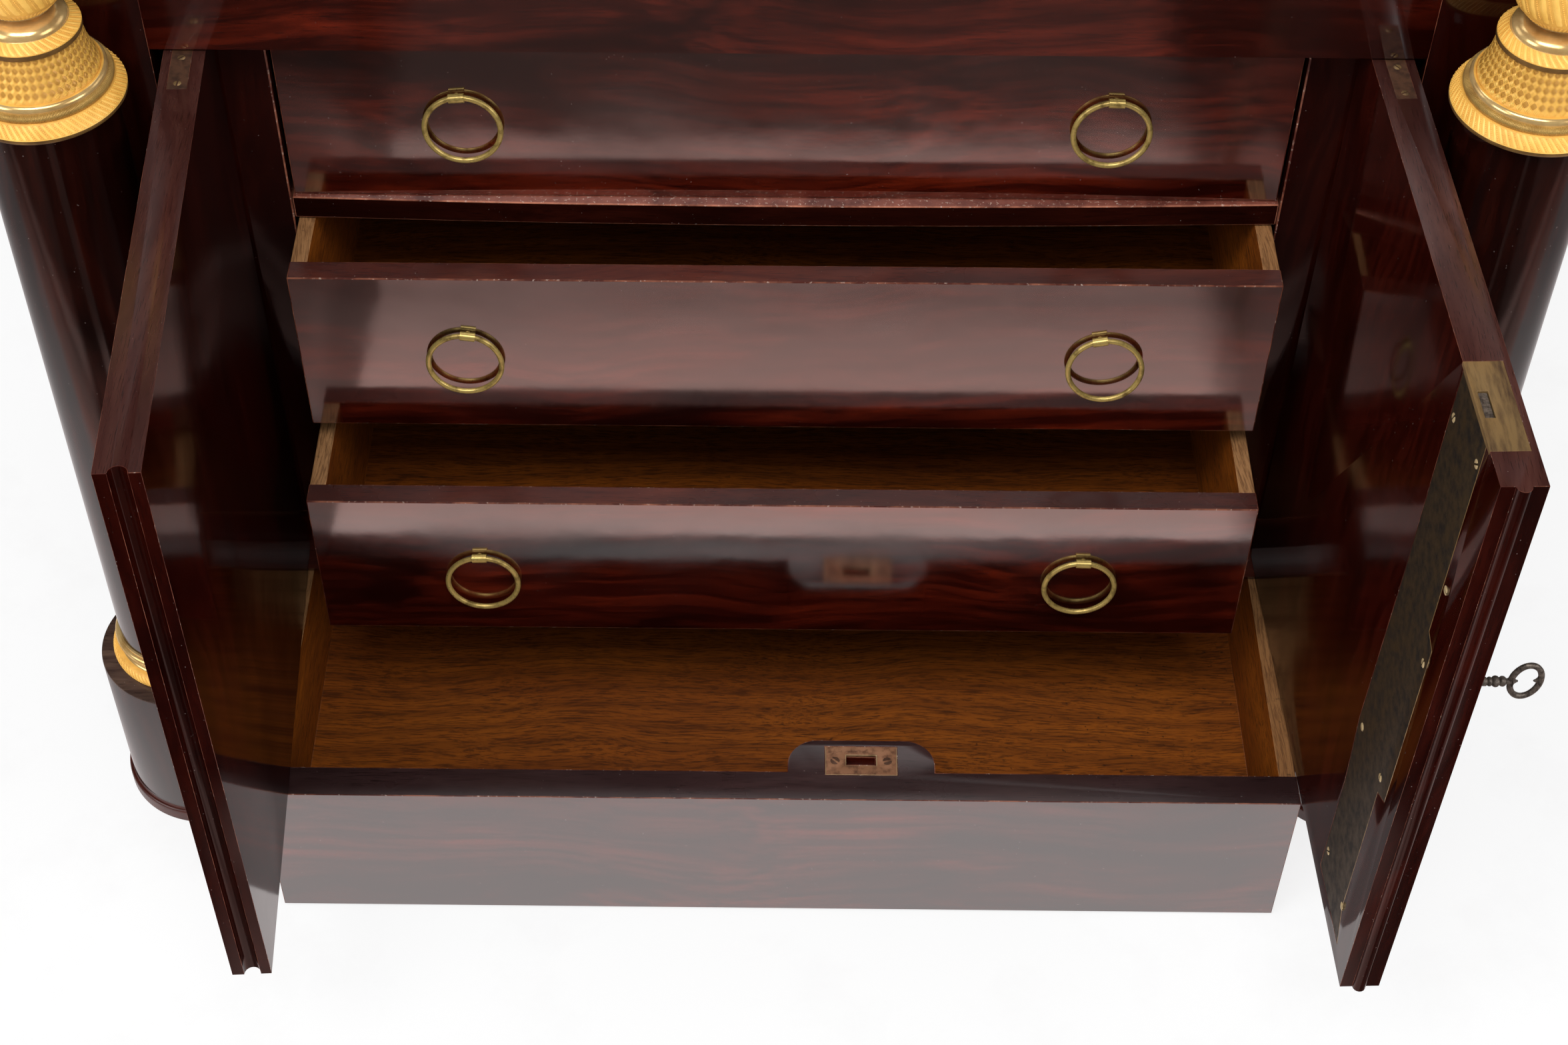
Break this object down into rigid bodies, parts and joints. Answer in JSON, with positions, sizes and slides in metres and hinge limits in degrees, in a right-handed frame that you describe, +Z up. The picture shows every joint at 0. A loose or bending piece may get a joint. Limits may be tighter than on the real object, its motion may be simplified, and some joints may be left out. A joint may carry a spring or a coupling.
{
  "type": "drop-front secretary",
  "caption": "Mahogany drop-front secretary on two columns with gilt mounts, doors below the flap hiding drawers with ring pulls, a secret drawer in the plinth, marble top",
  "frame": {"origin": "on the floor, middle of the bounding box's bottom face, in the plane of the closed doors' outer face", "axes": "+X to the right as seen from the front, +Y to the back, +Z up"},
  "size_m": [1.044, 0.743, 1.396],
  "materials": {
    "mahogany": "french polish",
    "oak": "waxed",
    "gilt": "matte gilding",
    "brass": "worn",
    "iron": "worn",
    "hide": "worn",
    "stone": "polished"
  },
  "bodies": {
    "case": {"side_left": "mahogany", "side_right": "mahogany", "pilaster_left": "mahogany", "pilaster_right": "mahogany", "inner_stile_left": "mahogany", "inner_stile_right": "mahogany", "door_rail": "mahogany", "divider_upper": "mahogany", "divider_lower": "mahogany", "case_bottom": "mahogany", "drawer_runners": "oak", "back_panel": "oak", "desk_deck": "oak", "interior_frame": "mahogany", "frieze_frame": "mahogany", "top_board": "mahogany", "marble_top": "stone", "drum_left": "mahogany", "drum_right": "mahogany", "base_left": "gilt", "base_right": "gilt", "shaft_left": "mahogany", "shaft_right": "mahogany", "mount_left": "gilt", "mount_right": "gilt", "upper_shaft_left": "mahogany", "upper_shaft_right": "mahogany", "capital_left": "gilt", "capital_right": "gilt", "hinge_leaves_case": "brass"},
    "left_door": {"door_left": "mahogany", "hinge_leaves_left": "brass"},
    "right_door": {"door_right": "mahogany", "hinge_leaves_right": "brass", "lock_faceplate": "brass", "lock_cover": "brass"},
    "bolt": {"lock_bolt": "iron"},
    "key": {"door_key": "iron"},
    "drawer_1": {"drawer_1_front": "mahogany", "drawer_1_box": "oak", "drawer_1_eyes": "brass"},
    "drawer_2": {"drawer_2_front": "mahogany", "drawer_2_box": "oak", "drawer_2_eyes": "brass"},
    "drawer_3": {"drawer_3_front": "mahogany", "drawer_3_box": "oak", "drawer_3_eyes": "brass"},
    "ring_1_left": {"ring_1_left": "brass"},
    "ring_1_right": {"ring_1_right": "brass"},
    "ring_2_left": {"ring_2_left": "brass"},
    "ring_2_right": {"ring_2_right": "brass"},
    "ring_3_left": {"ring_3_left": "brass"},
    "ring_3_right": {"ring_3_right": "brass"},
    "plinth_drawer": {"plinth_drawer_front": "mahogany", "plinth_drawer_box": "oak", "plinth_lock_plate": "brass"},
    "flap": {"flap_panel": "mahogany", "flap_leather": "hide", "flap_stays": "brass"},
    "frieze_drawer": {"frieze_drawer": "mahogany"}
  },
  "joints": [
    {"name": "left_door_hinge", "type": "hinge", "parent": "case", "child": "left_door", "pos_m": [-0.38, 0.012, 0.39], "axis": [0, 0, -1], "range_deg": [-86.5, 0.4]},
    {"name": "right_door_hinge", "type": "hinge", "parent": "case", "child": "right_door", "pos_m": [0.38, 0.012, 0.39], "axis": [0, 0, 1], "range_deg": [-92, 0.5]},
    {"name": "drawer_1_slide", "type": "slide", "parent": "case", "child": "drawer_1", "axis": [0, -1, 0], "range_m": [0, 0.2]},
    {"name": "drawer_2_slide", "type": "slide", "parent": "case", "child": "drawer_2", "axis": [0, -1, 0], "range_m": [-0.064, 0.12]},
    {"name": "drawer_3_slide", "type": "slide", "parent": "case", "child": "drawer_3", "axis": [0, -1, 0], "range_m": [-0.16, 0.08]},
    {"name": "plinth_drawer_slide", "type": "slide", "parent": "case", "child": "plinth_drawer", "axis": [0, -1, 0], "range_m": [-0.212, 0.04]},
    {"name": "ring_1_left_pivot", "type": "hinge", "parent": "drawer_1", "child": "ring_1_left", "pos_m": [-0.216, 0.0348, 0.5725], "axis": [-0.9962, 0, -0.0872], "range_deg": [-2, 93]},
    {"name": "ring_1_right_pivot", "type": "hinge", "parent": "drawer_1", "child": "ring_1_right", "pos_m": [0.216, 0.0348, 0.5725], "axis": [-0.9994, 0, 0.0349], "range_deg": [-2, 93]},
    {"name": "ring_2_left_pivot", "type": "hinge", "parent": "drawer_2", "child": "ring_2_left", "pos_m": [-0.216, -0.0292, 0.42], "axis": [-0.9903, 0, 0.1392], "range_deg": [-2, 93]},
    {"name": "ring_2_right_pivot", "type": "hinge", "parent": "drawer_2", "child": "ring_2_right", "pos_m": [0.216, -0.0292, 0.42], "axis": [-0.9781, 0, -0.2079], "range_deg": [-6, 89]},
    {"name": "ring_3_left_pivot", "type": "hinge", "parent": "drawer_3", "child": "ring_3_left", "pos_m": [-0.216, -0.0872, 0.258], "axis": [-0.9994, 0, -0.0349], "range_deg": [-2, 93]},
    {"name": "ring_3_right_pivot", "type": "hinge", "parent": "drawer_3", "child": "ring_3_right", "pos_m": [0.216, -0.0872, 0.258], "axis": [-0.9994, 0, 0.0349], "range_deg": [-2, 93]},
    {"name": "flap_hinge", "type": "hinge", "parent": "case", "child": "flap", "pos_m": [0, 0.012, 0.726], "axis": [1, 0, 0], "range_deg": [0, 90]},
    {"name": "frieze_drawer_slide", "type": "slide", "parent": "case", "child": "frieze_drawer", "axis": [0, -1, 0], "range_m": [0, 0.2]},
    {"name": "key_turn", "type": "hinge", "parent": "right_door", "child": "key", "pos_m": [0.40417, -0.33637, 0.433], "axis": [0.9994, 0.0349, 0], "range_deg": [0, 90]},
    {"name": "bolt_slide", "type": "slide", "parent": "right_door", "child": "bolt", "axis": [0, 0, 1], "range_m": [0, 0.009]}
  ],
  "couplings": [
    {"joint": "right_door_hinge", "follows": "left_door_hinge", "ratio": 1.0635},
    {"joint": "drawer_2_slide", "follows": "left_door_hinge", "m_per_rad": 0.0423},
    {"joint": "drawer_3_slide", "follows": "left_door_hinge", "m_per_rad": 0.10595}
  ]
}
